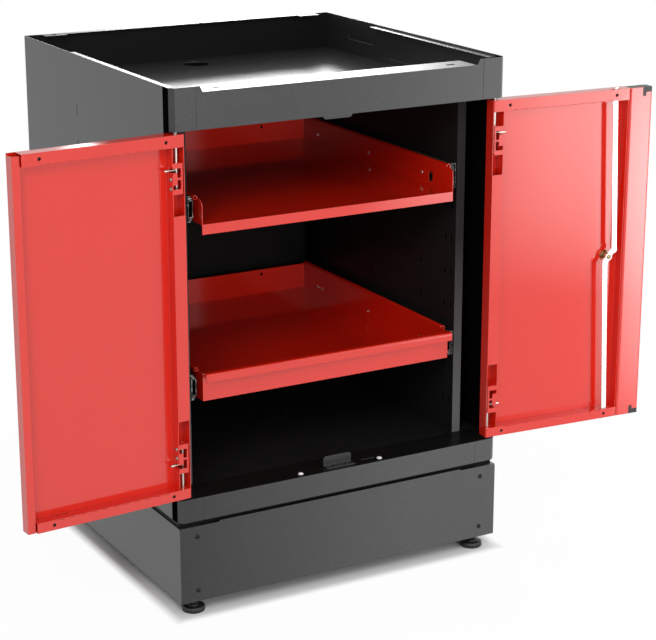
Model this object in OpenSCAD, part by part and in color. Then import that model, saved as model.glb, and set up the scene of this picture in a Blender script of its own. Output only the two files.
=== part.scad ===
// Workshop cabinet with two hinged doors and two pull-out trays, millimetres.
// X is the width, the front faces -Y, Z is up from the floor.

/* [Body] */
// Outside width of the body
body_w = 650; // [620:10:720]
// Outside depth of the body
body_d = 640; // [620:10:700]
// Clear height between sill and top rail
opening_h = 640; // [600:10:700]
// Height of the top rail
rail_h = 72; // [64:1:84]
// Height of the sill rail under the doors
sill_h = 42; // [36:1:50]
// Sheet thickness of the body
sheet = 1.5; // [1.2:0.1:2]
// Width of the slanted front corner
corner_cut = 8; // [5:1:12]
// Depth of the space that the doors close into
door_recess = 64; // [58:1:70]

/* [Plinth and feet] */
// Height of the plinth panel
plinth_h = 143; // [120:1:160]
// Dark joint between plinth and sill
plinth_gap = 7; // [4:1:10]
// Height of the plinth above the floor
foot_h = 26; // [22:1:34]
// Diameter of a foot pad
foot_d = 40; // [34:1:46]
// Diameter of a foot stud
stud_d = 10; // [8:1:12]

/* [Doors] */
// Depth of a door from outer face to inner rim
door_t = 24.5; // [23:0.5:27]
// Sheet thickness of the doors
door_sheet = 1.2; // [1:0.1:1.5]
// Gap above and below the doors
door_gap = 4; // [3.8:0.1:5]
// Opening angle shown
open_angle = 176; // [90:1:176]
// Width of the pull handle trough
handle_w = 49; // [44:1:54]
// Diameter of a hinge pin
pin_d = 6; // [5:0.5:7]
// Radius from the lock centre to a rod pin
cam_r = 16.2; // [15:0.1:18]
// Angle of the lock bar from level
cam_angle = 54; // [50:1:58]

/* [Trays] */
// Outside width of a tray
tray_w = 500; // [480:5:520]
// Depth of the upper tray
tray_d = 554; // [520:1:560]
// Sheet thickness of the trays
tray_sheet = 1.2; // [1:0.1:1.6]
// Wall height of the upper tray
upper_tray_h = 42; // [36:1:50]
// Wall height of the lower tray
lower_tray_h = 50; // [46:1:60]
// Floor of the upper tray above the sill
upper_tray_level = 468; // [440:1:490]
// Floor of the lower tray above the sill
lower_tray_level = 154; // [130:1:180]
// Height of a slide
slide_h = 45; // [42:1:48]

/* [Hidden] */
$fn = 40;
body_paint = [0.12, 0.12, 0.13];
inner_paint = [0.2, 0.2, 0.21];
door_paint = [0.7, 0.03, 0.03];
zinc = [0.75, 0.76, 0.78];
brass = [0.75, 0.6, 0.3];
black_plastic = [0.05, 0.05, 0.05];
white_plastic = [0.92, 0.92, 0.9];

half_w = body_w / 2;
half_d = body_d / 2;
front = -half_d;
recess_y = front + door_recess;
z_plinth = foot_h;
z_plinth_top = z_plinth + plinth_h;
z_sill = z_plinth_top + plinth_gap;
z_open = z_sill + sill_h;
z_rail = z_open + opening_h;
z_top = z_rail + rail_h;
z_door_low = z_open + door_gap;
z_door_high = z_rail - door_gap;
z_door_mid = (z_door_low + z_door_high) / 2;
back_inner = half_d - 2 * sheet;

// rails and tabs
tab_w = 45.7;
seam_gap = 0.4;
seam_x = half_w - tab_w - seam_gap;
flange_w = 18;
flange_front = front + 28;
flange_back = half_d - 200;
flange_drop = 3.5;
rear_fold = 25;
base_flange = 40;
rail_drop = 10;
rail_flange_d = 56;

// inner side walls, slides and trays
slide_t = 19.5;
wall_x = tray_w / 2 + slide_t;
band_w = 17;
wall_back = half_d - 30;
tray_half = tray_w / 2;
tray_front = front + 46;
tray_back = tray_front + tray_d;
z_upper = z_open + upper_tray_level;
z_lower = z_open + lower_tray_level;
slide_front = recess_y + 4;
slide_back = min(tray_back - 4, wall_back);
slide_sheet = 1.2;
roll_r = 4;
slide_nest = 7.5;
slide_inner_half = slide_h / 2 - slide_nest;
under_roll = 0.5 - roll_r - slide_inner_half;
z_slide_upper = z_upper + min(23.5, upper_tray_h + under_roll);
z_slide_lower = z_lower + min(21.5, lower_tray_h + under_roll);

// door layout, measured from the hinge edge and the outer face
side_gap = 4;
pin_r = pin_d / 2;
run_fit = 0.06;
pin_u = 9;
pin_v = 11.5;
pin_x = half_w - side_gap - pin_u;
pin_y = front + pin_v;
meet_x = -16;
meet_gap = 3;
left_w = half_w - side_gap + meet_x - meet_gap / 2;
right_w = half_w - side_gap - meet_x - meet_gap / 2;
hinge_strip = 22.5;
top_strip = 21;
low_strip = 17.5;
free_strip = 14;
free_step = 4.5;
skin_w = right_w - handle_w;
bracket_h = 52;
bracket_low = 47;
cut_len = 114;
low_cut_len = 123;
bracket_sheet = 2;
tail_r = 2;
tail_len = 23;
tail_angle = 4;
tail_drop = 13;

// lock
lock_u = right_w - 76.5;
barrel_r = 7;
rod_w = 10;
rod_t = 2;
rod_v = 19;
bar_v = 15;
bar_t = 3;
rod_pin_r = 2.5;
rod_drift = 9.5;
rod_lean = 2;
rod_over = door_gap - 0.6;
rod_pin_u = cam_r * cos(cam_angle);
rod_pin_z = cam_r * sin(cam_angle);

function unit(v) = v / norm(v);
function side_of(a, b) = [-(b - a)[1], (b - a)[0]] / norm(b - a);
function edge_point(p, i, t) =
    i == 0 ? p[0] + t * side_of(p[0], p[1])
    : i == len(p) - 1 ? p[i] + t * side_of(p[i - 1], p[i])
    : let (a = side_of(p[i - 1], p[i]), b = side_of(p[i], p[i + 1]), m = a + b) p[i] + m * (t / (m * a));
function strip(p, t) = concat(p, [for (i = [len(p) - 1:-1:0]) edge_point(p, i, t)]);
function turn(d) = d > 180 ? d - 360 : d < -180 ? d + 360 : d;
function arc_of(p0, p1, p2, r, n) =
    let (a = unit(p0 - p1), b = unit(p2 - p1), half = acos(a * b) / 2)
    let (c = p1 + unit(a + b) * (r / sin(half)), s = p1 + a * (r / tan(half)) - c)
    let (e = p1 + b * (r / tan(half)) - c, t0 = atan2(s[1], s[0]))
    let (dt = turn(atan2(e[1], e[0]) - t0))
    [for (i = [0:n]) c + r * [cos(t0 + dt * i / n), sin(t0 + dt * i / n)]];
function rounded(p, r, n) =
    [p[0], for (i = [1:len(p) - 2]) each arc_of(p[i - 1], p[i], p[i + 1], r, n), p[len(p) - 1]];

module block(a, b) {
    translate(a) cube(b - a);
}

// sheet bent along a plan path, standing up
module folded(p, t, h) {
    linear_extrude(height = h) polygon(strip(p, t));
}

// outline in depth and height, run along the width
module along_x(x0, x1) {
    translate([x0, 0, 0]) rotate([90, 0, 90]) linear_extrude(height = x1 - x0) children();
}

// outline in width and height, run along the depth
module along_y(y0, y1) {
    translate([0, y1, 0]) rotate([90, 0, 0]) linear_extrude(height = y1 - y0) children();
}

module both_sides() {
    children();
    mirror([1, 0, 0]) children();
}

module four_corners() {
    both_sides() children();
    mirror([0, 1, 0]) both_sides() children();
}

// a door drawn closed from its hinge edge, swung open about its pin
module on_left_door() {
    translate([-pin_x, pin_y, 0]) rotate(-open_angle) translate([-pin_u, -pin_v, 0]) children();
}

module on_right_door() {
    mirror([1, 0, 0]) on_left_door() children();
}

module side_panel() {
    slit_y = front + 394.5;
    slit_w = 2;
    jamb_y = front + 30;
    lance_t = 0.9;
    lances = [[203, 247, 30, 34], [300, 388, 12, 15], [455, 548, 30, 39]];
    difference() {
        union() {
            translate([0, 0, z_sill])
                folded([[-half_w, jamb_y], [-half_w, half_d], [-half_w + rear_fold, half_d]],
                    -sheet, z_top - z_sill);
            for (zone = [[z_sill, sill_h], [z_rail, rail_h]])
                translate([0, 0, zone[0]])
                    folded([[-half_w + tab_w, front], [-half_w + corner_cut, front],
                        [-half_w, front + corner_cut], [-half_w, recess_y + sheet]], -sheet, zone[1]);
            block([-half_w, flange_front, z_top - flange_drop - sheet],
                [-half_w + flange_w, flange_back, z_top - flange_drop]);
            block([-half_w, recess_y, z_sill], [-half_w + base_flange, half_d, z_sill + sheet]);
        }
        block([-half_w - 1, slit_y - slit_w / 2, z_rail - 38],
            [-half_w + sheet + 1, slit_y + slit_w / 2, z_rail - 18]);
        block([-half_w - 1, slit_y - slit_w / 2, z_rail - 92],
            [-half_w + sheet + 1, slit_y + slit_w / 2, z_rail - 82]);
        for (p = lances)
            block([-half_w + sheet - lance_t, front + p[0], z_rail + p[2]],
                [-half_w + sheet + 1, front + p[1], z_rail + p[3]]);
    }
}

module left_side_panel() {
    color(body_paint) side_panel();
}

module right_side_panel() {
    color(body_paint) mirror([1, 0, 0]) side_panel();
}

module back_panel() {
    edge = half_w - sheet - 0.5;
    flange_half = half_w - 77;
    slot_half = 8;
    slot_t = 1;
    color(body_paint) difference() {
        union() {
            block([-edge, back_inner, z_sill + sheet], [edge, back_inner + sheet, z_top]);
            block([-flange_half, back_inner - 13, z_top - sheet], [flange_half, back_inner + sheet, z_top]);
        }
        block([-slot_half, back_inner - 1, z_rail + 8], [slot_half, back_inner + slot_t, z_rail + 13]);
    }
}

module top_panel() {
    edge = half_w - sheet;
    cable_r = 26;
    hole_r = 3;
    color(body_paint) difference() {
        block([-edge, recess_y, z_rail], [edge, back_inner, z_rail + sheet]);
        translate([0, half_d - 62, z_rail - 1]) cylinder(r = cable_r, h = sheet + 2);
        for (x = [-136, 136])
            translate([x, half_d - 141, z_rail - 1]) cylinder(r = hole_r, h = sheet + 2);
    }
}

module bottom_panel() {
    edge = half_w - sheet;
    hole_half = 3;
    color(body_paint) difference() {
        block([-edge, recess_y, z_open - sheet], [edge, back_inner, z_open]);
        for (x = [-180, -60, 60, 180], y = [recess_y + 30, 0, 240])
            block([x - hole_half, y - hole_half, z_open - sheet - 1],
                [x + hole_half, y + hole_half, z_open + 1]);
    }
}

// level plate behind a rail, carrying the pin bushes and the rod slots
module pin_flange(z) {
    edge = half_w - sheet;
    cut = corner_cut + 2;
    bush_r = pin_r + 3;
    rod_x = half_w - side_gap - lock_u;
    translate([0, 0, z]) difference() {
        union() {
            linear_extrude(height = sheet)
                polygon([[-edge, recess_y], [-edge, front + cut], [-half_w + cut, front + sheet],
                    [half_w - cut, front + sheet], [edge, front + cut], [edge, recess_y]]);
            block([-seam_x, front + sheet / 2, 0], [seam_x, front + 2 * sheet, sheet]);
        }
        both_sides() translate([pin_x, pin_y, -1]) cylinder(r = bush_r, h = sheet + 2);
        block([rod_x - 14, front + rod_v - 2, -1], [rod_x + 14, front + rod_v + rod_t + 2, sheet + 1]);
    }
}

module top_rail() {
    step = 5;
    lip = 12;
    slot_inset = 98;
    slot_x = half_w - slot_inset;
    color(body_paint) {
        along_y(front, front + sheet)
            polygon([[-seam_x, z_rail], [seam_x, z_rail], [seam_x, z_top], [seam_x - 7, z_top],
                [seam_x - 7 - step, z_top - rail_drop], [-seam_x + 7 + step, z_top - rail_drop],
                [-seam_x + 7, z_top], [-seam_x, z_top]]);
        difference() {
            along_x(-seam_x + 14, seam_x - 14)
                polygon(strip([[front, z_top - rail_drop], [front + rail_flange_d, z_top - rail_drop],
                    [front + rail_flange_d, z_top - rail_drop - lip]], -sheet));
            for (x = [-slot_x, slot_x])
                block([x - 8, front + 23, z_top - rail_drop - sheet - 1], [x + 8, front + 31, z_top]);
        }
        pin_flange(z_rail);
    }
}

module bottom_rail() {
    color(body_paint) {
        along_y(front, front + sheet)
            polygon([[-seam_x, z_sill], [seam_x, z_sill], [seam_x, z_open], [-seam_x, z_open]]);
        block([-seam_x, front, z_sill], [seam_x, front + 24, z_sill + sheet]);
        pin_flange(z_open - sheet);
    }
}

// inner side wall with a front band and rows of slots for the slides
module inner_wall() {
    row_pitch = 62;
    first_row = z_open + 60;
    rows = floor((opening_h - 90) / row_pitch);
    columns = [front + 78, front + 99, front + 180, front + 362, front + 470];
    slot_half_y = 3;
    slot_half_z = 4.5;
    tall_slot_y = front + 281;
    tall_slot_z = z_open + 321;
    tall_slot_h = 19;
    difference() {
        translate([0, 0, z_open])
            folded([[-wall_x - band_w, recess_y], [-wall_x, recess_y], [-wall_x, wall_back],
                [-wall_x - band_w, wall_back]], sheet, opening_h);
        for (k = [0:rows - 1], y = columns)
            block([-wall_x - sheet - 1, y - slot_half_y, first_row + k * row_pitch - slot_half_z],
                [-wall_x + 1, y + slot_half_y, first_row + k * row_pitch + slot_half_z]);
        block([-wall_x - sheet - 1, tall_slot_y - slot_half_y, tall_slot_z],
            [-wall_x + 1, tall_slot_y + slot_half_y, tall_slot_z + tall_slot_h]);
    }
}

module left_inner_wall() {
    color(inner_paint) inner_wall();
}

module right_inner_wall() {
    color(inner_paint) mirror([1, 0, 0]) inner_wall();
}

// rear corner angles that a worktop is bolted to
module worktop_tabs() {
    tab_inset = 54;
    tab_x = half_w - tab_inset;
    tab_half = 22;
    bolt_r = 4.5;
    color(body_paint) both_sides() difference() {
        along_x(tab_x - tab_half, tab_x + tab_half)
            polygon(strip([[back_inner - 25, z_top], [back_inner, z_top], [back_inner, z_top - 30]], -sheet));
        translate([tab_x, back_inner - 10, z_top - sheet - 1]) cylinder(r = bolt_r, h = sheet + 2);
    }
}

// clips that the closed doors come to rest against
module stop_clip(z, up, tall) {
    half = 28.5;
    foot_y = front + 10;
    leg_y = front + door_t + 0.8;
    round_r = 6;
    foot_z = up > 0 ? z : z - sheet;
    block([-half, foot_y, foot_z], [half, leg_y + sheet, foot_z + sheet]);
    translate([0, leg_y, z]) mirror([0, 0, up > 0 ? 0 : 1]) along_y(0, sheet)
        polygon(concat([[-half, 0], [half, 0]],
            arc_of([half, 0], [half, tall], [-half, tall], round_r, 6),
            arc_of([half, tall], [-half, tall], [-half, 0], round_r, 6)));
}

module top_stop() {
    color(body_paint) stop_clip(z_rail, -1, 11);
}

module bottom_stop() {
    color(body_paint) stop_clip(z_open, 1, 18.5);
}

module stop_screws() {
    head_r = 3;
    head_h = 1.2;
    color(zinc) {
        translate([-12, front + 18, z_open + sheet]) cylinder(r = head_r, h = head_h);
        translate([12, front + 18, z_open + sheet]) cylinder(r = head_r, h = head_h);
    }
}

module sill_buffers() {
    base_r = 5;
    tall = 3;
    buffer_x = 81;
    color(white_plastic) for (x = [-buffer_x, buffer_x])
        translate([x, front + 14, z_open]) rotate_extrude()
            polygon(concat([[0, 0], [base_r, 0]],
                [for (a = [15:15:75]) [base_r * cos(a), tall * sin(a)]], [[0, tall]]));
}

// plain sleeves that the hinge pins turn in
module pin_bushes() {
    sleeve_r = pin_r + 3;
    collar_r = pin_r + 5;
    color(black_plastic) both_sides() {
        translate([pin_x, pin_y, 0]) difference() {
            union() {
                translate([0, 0, z_rail - 1]) cylinder(r = collar_r, h = 1);
                translate([0, 0, z_rail - 1]) cylinder(r = sleeve_r, h = 11);
            }
            translate([0, 0, z_rail - 2]) cylinder(r = pin_r + run_fit, h = 14);
        }
        translate([pin_x, pin_y, 0]) difference() {
            union() {
                translate([0, 0, z_open]) cylinder(r = collar_r, h = 1);
                translate([0, 0, z_open - 10]) cylinder(r = sleeve_r, h = 11);
            }
            translate([0, 0, z_open - 12]) cylinder(r = pin_r + run_fit, h = 14);
        }
    }
}

module plinth_frame() {
    tab = 50;
    shelf = 40;
    back = half_d;
    start = front + sheet;
    color(body_paint) {
        translate([0, 0, z_plinth])
            folded([[-half_w + tab, start], [-half_w, start], [-half_w, back], [half_w, back],
                [half_w, start], [half_w - tab, start]], -sheet, plinth_h - 3);
        both_sides()
            block([half_w - shelf, start, z_plinth_top - 3 - sheet], [half_w, back, z_plinth_top - 3]);
    }
}

module plinth_front() {
    end_x = half_w - 75;
    drop = 2.5;
    round_r = 5;
    color(body_paint) along_y(front, front + sheet)
        polygon(concat([[-half_w, z_plinth], [half_w, z_plinth]],
            arc_of([half_w, z_plinth], [half_w, z_plinth_top - drop],
                [end_x, z_plinth_top - drop], round_r, 6),
            [[end_x, z_plinth_top - drop], [end_x - 3, z_plinth_top], [-end_x + 3, z_plinth_top],
                [-end_x, z_plinth_top - drop]],
            arc_of([-end_x, z_plinth_top - drop], [-half_w, z_plinth_top - drop],
                [-half_w, z_plinth], round_r, 6)));
}

module plinth_screws() {
    head_r = 4.2;
    head_h = 2.2;
    screw_x = half_w - 33;
    color(black_plastic) for (x = [-screw_x, screw_x], z = [z_plinth + 21, z_plinth_top - 22])
        translate([x, front, z]) rotate([90, 0, 0]) cylinder(r1 = head_r, r2 = head_r * 0.7, h = head_h);
}

// set-back ring that carries the body above the plinth and leaves a dark joint
module plinth_riser() {
    inset = 12;
    side_inset = 3;
    wall = 16;
    side_wall = 25;
    z0 = z_plinth_top - 3;
    skirt = 10;
    skirt_half = half_w - 42;
    color(black_plastic) {
        difference() {
            block([-half_w + side_inset, front + inset, z0], [half_w - side_inset, half_d - inset, z_sill]);
            block([-half_w + side_inset + side_wall, front + inset + wall, z0 - 1],
                [half_w - side_inset - side_wall, half_d - inset - wall, z_sill + 1]);
        }
        block([-skirt_half, front + inset, z0 - skirt], [skirt_half, front + inset + 2 * sheet, z0 + 1]);
    }
}

foot_x = half_w - 34;
foot_y = half_d - 24;
z_foot_plate = z_plinth + 15;
foot_plate_t = 3;
stud_r = stud_d / 2;

module foot_plates() {
    reach = 66;
    edge_y = half_d - 2 * sheet;
    color(body_paint) four_corners() difference() {
        block([half_w - reach, half_d - reach, z_foot_plate],
            [half_w - sheet, edge_y, z_foot_plate + foot_plate_t]);
        translate([foot_x, foot_y, z_foot_plate - 1]) cylinder(r = stud_r + 1, h = foot_plate_t + 2);
    }
}

module foot_nuts() {
    nut_h = 8;
    color(zinc) four_corners() translate([foot_x, foot_y, z_foot_plate + foot_plate_t]) difference() {
        cylinder(r = stud_r * 1.9, h = nut_h, $fn = 6);
        translate([0, 0, -1]) cylinder(r = stud_r + run_fit, h = nut_h + 2);
    }
}

module foot() {
    pad_h = 12.5;
    pad_r = foot_d / 2;
    rim = 2;
    rotate_extrude()
        polygon([[0, 0], [pad_r - rim, 0], [pad_r, rim], [pad_r, pad_h - rim - 2], [pad_r - rim, pad_h - 2],
            [stud_r + 4, pad_h], [stud_r, pad_h], [stud_r, z_foot_plate + 45], [0, z_foot_plate + 45]]);
}

module foot_front_left() {
    color(black_plastic) translate([-foot_x, -foot_y, 0]) foot();
}

module foot_front_right() {
    color(black_plastic) translate([foot_x, -foot_y, 0]) foot();
}

module foot_back_left() {
    color(black_plastic) translate([-foot_x, foot_y, 0]) foot();
}

module foot_back_right() {
    color(black_plastic) translate([foot_x, foot_y, 0]) foot();
}

// one member of a slide: web at x0, lips reaching to x1
module slide_member(x0, x1, half_h, z) {
    t = x1 > x0 ? slide_sheet : -slide_sheet;
    along_y(slide_front, slide_back)
        polygon(strip([[x1, z + half_h], [x0, z + half_h], [x0, z - half_h], [x1, z - half_h]], t));
}

module slide_outer_members() {
    color(zinc) both_sides() {
        slide_member(-wall_x, -wall_x + 9, slide_h / 2, z_slide_upper);
        slide_member(-wall_x, -wall_x + 9, slide_h / 2, z_slide_lower);
    }
}

// middle member with its ball rows, which stop short of the other two members
module slide_middle(z) {
    lip_half = slide_h / 2 - 3.5;
    middle_reach = 11.5;
    ball_x = 9;
    ball_gap = 0.3;
    outer_inside = slide_h / 2 - slide_sheet;
    inner_outside = slide_inner_half;
    outer_r = (outer_inside - ball_gap - lip_half + 0.2) / 2;
    inner_r = (lip_half - slide_sheet - inner_outside - ball_gap + 0.2) / 2;
    color(zinc) both_sides() {
        along_y(slide_front, slide_back)
            polygon(strip([[-wall_x + middle_reach, z + lip_half], [-wall_x + 4.2, z + lip_half],
                [-wall_x + 4.2, z - lip_half], [-wall_x + middle_reach, z - lip_half]], slide_sheet));
        for (s = [-1, 1]) {
            translate([-wall_x + 6.5, slide_front + 10, z + s * (outer_inside - ball_gap - outer_r)])
                rotate([-90, 0, 0]) cylinder(r = outer_r, h = slide_back - slide_front - 20, $fn = 16);
            translate([-wall_x + ball_x, slide_front + 10, z + s * (inner_outside + ball_gap + inner_r)])
                rotate([-90, 0, 0]) cylinder(r = inner_r, h = slide_back - slide_front - 20, $fn = 16);
        }
    }
}

module upper_slide_middles() {
    slide_middle(z_slide_upper);
}

module lower_slide_middles() {
    slide_middle(z_slide_lower);
}

module slide_inner(z) {
    web_x = -wall_x + 13.3;
    lip_x = -wall_x + 6.5;
    spacer_half = 6;
    spacer_inset = 40;
    color(zinc) both_sides() {
        slide_member(web_x, lip_x, slide_inner_half, z);
        block([web_x - slide_sheet / 2, slide_front + spacer_inset, z - spacer_half],
            [-tray_half, slide_back - spacer_inset, z + spacer_half]);
    }
}

module upper_slide_inners() {
    slide_inner(z_slide_upper);
}

module lower_slide_inners() {
    slide_inner(z_slide_lower);
}

// side wall of a tray with its upper edge rolled outward into a tube
module tray_side(y0, y1, z0, z1, round_r) {
    roll_y = y0 + 20;
    along_x(-tray_half, -tray_half + tray_sheet)
        polygon(concat([[y1, z1], [y1, z0], [y0, z0]], arc_of([y0, z0], [y0, z1], [y1, z1], round_r, 8)));
    translate([-tray_half + tray_sheet - roll_r, roll_y, z1 + 1]) rotate([-90, 0, 0]) difference() {
        cylinder(r = roll_r, h = y1 - roll_y);
        translate([0, 0, -1]) cylinder(r = roll_r - tray_sheet, h = y1 - roll_y + 2);
    }
}

module upper_tray() {
    z1 = z_upper + upper_tray_h;
    lip = 17.5;
    round_r = 12;
    slot_y = tray_front + 67;
    slot_l = 13;
    hole_r = 3;
    hole_x = 153;
    color(door_paint) difference() {
        union() {
            along_x(-tray_half, tray_half)
                polygon(strip([[tray_front, z_upper - lip], [tray_front, z_upper], [tray_back, z_upper],
                    [tray_back, z1]], -tray_sheet));
            both_sides() tray_side(tray_front, tray_back, z_upper - tray_sheet, z1, round_r);
        }
        for (x = [-hole_x, hole_x])
            translate([x, tray_back - 4, z1 - 11]) rotate([-90, 0, 0]) cylinder(r = hole_r, h = 8);
        for (x = [-tray_half, tray_half])
            block([x - 3, slot_y, z_upper + 5], [x + 3, slot_y + slot_l, z_upper + 23]);
    }
}

module lower_tray() {
    z1 = z_lower + lower_tray_h;
    front_y = tray_front + 8.6;
    lip_y = tray_front - 6;
    lip_drop = 14;
    hole_r = 3;
    hole_x = 150;
    color(door_paint) difference() {
        union() {
            along_x(-tray_half, tray_half)
                polygon(strip([[front_y, z_lower], [tray_back, z_lower], [tray_back, z1]], -tray_sheet));
            along_x(-tray_half, tray_half)
                polygon(strip(rounded([[front_y, z_lower - tray_sheet], [front_y, z1], [lip_y, z1],
                    [lip_y, z1 - lip_drop]], 4, 5), -tray_sheet));
            both_sides() tray_side(front_y, tray_back, z_lower - tray_sheet, z1, 4);
        }
        for (x = [-hole_x, hole_x])
            translate([x, tray_back - 4, z1 - 10]) rotate([-90, 0, 0]) cylinder(r = hole_r, h = 8);
    }
}

// domed rivets that hold a tray to its slides
module tray_rivets(z) {
    head_r = 3.5;
    first_y = tray_front + 104;
    mid_y = tray_front + tray_d / 2 + 17;
    last_y = tray_back - 60;
    pair_gap = 18;
    color(zinc) both_sides() for (y = [first_y, mid_y, last_y - pair_gap, last_y])
        translate([tray_half - tray_sheet, y, z]) rotate([0, -90, 0])
            cylinder(r1 = head_r, r2 = head_r * 0.6, h = 1.4);
}

module upper_tray_rivets() {
    tray_rivets(z_upper + 16);
}

module lower_tray_rivets() {
    tray_rivets(z_lower + 14);
}

// removes the hinge strip beside both brackets
module hinge_cut_outs() {
    block([-1, door_t - door_sheet - 0.1, z_door_high - top_strip - cut_len],
        [hinge_strip + 1, door_t + 1, z_door_high - top_strip]);
    block([-1, door_t - door_sheet - 0.1, z_door_low + low_strip],
        [hinge_strip + 1, door_t + 1, z_door_low + low_strip + low_cut_len]);
}

module left_door_skin() {
    color(door_paint) on_left_door() difference() {
        translate([0, 0, z_door_low])
            folded([[hinge_strip, door_t], [0, door_t], [0, 0], [left_w, 0], [left_w, door_t - free_step],
                [left_w - free_strip, door_t - free_step]], door_sheet, z_door_high - z_door_low);
        hinge_cut_outs();
        block([-1, door_t - door_sheet - 0.1, z_door_high - top_strip],
            [hinge_strip + 1, door_t + 1, z_door_high + 1]);
        block([-1, door_t - door_sheet - 0.1, z_door_low - 1],
            [hinge_strip + 1, door_t + 1, z_door_low + low_strip]);
        block([left_w - free_strip - 1, door_sheet + 0.1, z_door_high - 3],
            [left_w + 1, door_t, z_door_high + 1]);
    }
}

module right_door_skin() {
    color(door_paint) on_right_door() difference() {
        translate([0, 0, z_door_low])
            folded([[hinge_strip, door_t], [0, door_t], [0, 0], [skin_w, 0], [skin_w, door_t - 4]],
                door_sheet, z_door_high - z_door_low);
        hinge_cut_outs();
        block([-1, door_t - door_sheet - 0.1, z_door_high - top_strip],
            [hinge_strip + 1, door_t + 1, z_door_high + 1]);
        block([-1, door_t - door_sheet - 0.1, z_door_low - 1],
            [hinge_strip + 1, door_t + 1, z_door_low + low_strip]);
        translate([lock_u, -1, z_door_mid]) rotate([-90, 0, 0]) cylinder(r = barrel_r, h = 6);
    }
}

// box edge of a door: a channel closed against the skin
module edge_channel(u1, z_edge, inward, tall, rod_u) {
    pitch = 20;
    dash = 10;
    slit = 1.6;
    hole_r = 3;
    z_in = z_edge + inward * tall;
    z0 = min(z_edge, z_in);
    z1 = max(z_edge, z_in);
    slit_z = inward > 0 ? z1 - slit : z0 - 0.1;
    pin_hole = pin_r + 0.6;
    count = floor((u1 - 50) / pitch);
    difference() {
        along_x(door_sheet, u1)
            polygon(strip([[door_sheet, z1], [door_t, z1], [door_t, z0], [door_sheet, z0]], -door_sheet));
        translate([pin_u, pin_v, z0 - 1]) cylinder(r = pin_hole, h = tall + 2);
        for (u = [33.5, 258])
            translate([u, door_t - 4, (z0 + z1) / 2]) rotate([-90, 0, 0]) cylinder(r = hole_r, h = 6);
        for (k = [0:count - 1])
            block([40 + k * pitch, door_t - door_sheet - 0.1, slit_z],
                [40 + k * pitch + dash, door_t + 1, slit_z + slit + 0.1]);
        if (rod_u > 0)
            block([rod_u - rod_drift, rod_v - 1.5, z0 - 1], [rod_u + rod_drift, rod_v + rod_t + 1.5, z1 + 1]);
        if (inward > 0) {
            block([225, 4, z1 - door_sheet - 1], [236, 8, z1 + 1]);
            block([241, 4, z1 - door_sheet - 1], [250, 8, z1 + 1]);
        }
    }
}

// inner wall of the hinge-side box
module hinge_channel() {
    foot_w = 12;
    notch_h = 16;
    notch_v = 9.5;
    z_tail = z_door_high - bracket_low - tail_drop;
    difference() {
        translate([0, 0, z_door_low + low_strip])
            folded([[hinge_strip, door_t - door_sheet], [hinge_strip, 2 * door_sheet],
                [hinge_strip + foot_w, 2 * door_sheet]], -door_sheet,
                z_door_high - top_strip - z_door_low - low_strip);
        for (z = [z_tail, z_door_low + z_door_high - z_tail])
            block([hinge_strip - 2 * door_sheet, notch_v, z - notch_h / 2],
                [hinge_strip + 1, door_t, z + notch_h / 2]);
    }
}

module left_top_channel() {
    color(door_paint) on_left_door() edge_channel(left_w - free_strip - 1, z_door_high, -1, top_strip, 0);
}

module left_low_channel() {
    color(door_paint) on_left_door() edge_channel(left_w - free_strip - 1, z_door_low, 1, low_strip, 0);
}

module left_hinge_channel() {
    color(door_paint) on_left_door() hinge_channel();
}

module right_top_channel() {
    color(door_paint) on_right_door()
        edge_channel(skin_w - door_sheet, z_door_high, -1, top_strip, lock_u - rod_lean);
}

module right_low_channel() {
    color(door_paint) on_right_door()
        edge_channel(skin_w - door_sheet, z_door_low, 1, low_strip, lock_u + rod_lean);
}

module right_hinge_channel() {
    color(door_paint) on_right_door() hinge_channel();
}

// hinge bracket: slotted face, screwed leg and two drilled end plates, drawn for the upper corner
module bracket() {
    u0 = 3.5;
    u1 = hinge_strip - door_sheet;
    face_v = door_t - 1.2;
    z0 = z_door_high - bracket_low - bracket_h;
    z1 = z0 + bracket_h;
    slot_u = pin_u - tail_r - 0.5;
    slot_w = 6.7;
    slot_h = 7.5;
    slot_from = 8.5;
    slot_len = 15.6;
    leg_v = 9.5;
    difference() {
        union() {
            translate([0, 0, z0]) folded([[u0, face_v], [u1, face_v], [u1, 5]], -bracket_sheet, bracket_h);
            for (z = [z0, z1 - bracket_sheet])
                block([u0, 5, z], [u1, face_v, z + bracket_sheet]);
        }
        translate([pin_u, pin_v, z0 - 1]) cylinder(r = pin_r + run_fit, h = bracket_h + 2);
        for (z = [z1 - slot_from - slot_len, z0 + slot_from])
            block([slot_u, face_v - 4, z], [slot_u + slot_w, face_v + 1, z + slot_len]);
        for (z = [z1 - slot_from - slot_h, z0 + slot_from])
            block([slot_u, leg_v, z], [u1 + 1, face_v + 1, z + slot_h]);
    }
}

// the same bracket turned upside down for the lower corner
module lower_bracket() {
    translate([0, 0, z_door_low + z_door_high]) mirror([0, 0, 1]) bracket();
}

module left_upper_bracket() {
    color(door_paint) on_left_door() bracket();
}

module left_lower_bracket() {
    color(door_paint) on_left_door() lower_bracket();
}

module right_upper_bracket() {
    color(door_paint) on_right_door() bracket();
}

module right_lower_bracket() {
    color(door_paint) on_right_door() lower_bracket();
}

module bracket_screws() {
    head_r = 3.4;
    head_h = 2.2;
    screw_v = door_t - 7.5;
    z0 = z_door_high - bracket_low - bracket_h;
    for (z = [z0 + 9, z0 + 25])
        for (y = [z, z_door_low + z_door_high - z])
            translate([hinge_strip, screw_v, y]) rotate([0, 90, 0])
                cylinder(r1 = head_r, r2 = head_r * 0.75, h = head_h);
}

module left_bracket_screws() {
    color(zinc) on_left_door() bracket_screws();
}

module right_bracket_screws() {
    color(zinc) on_right_door() bracket_screws();
}

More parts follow.
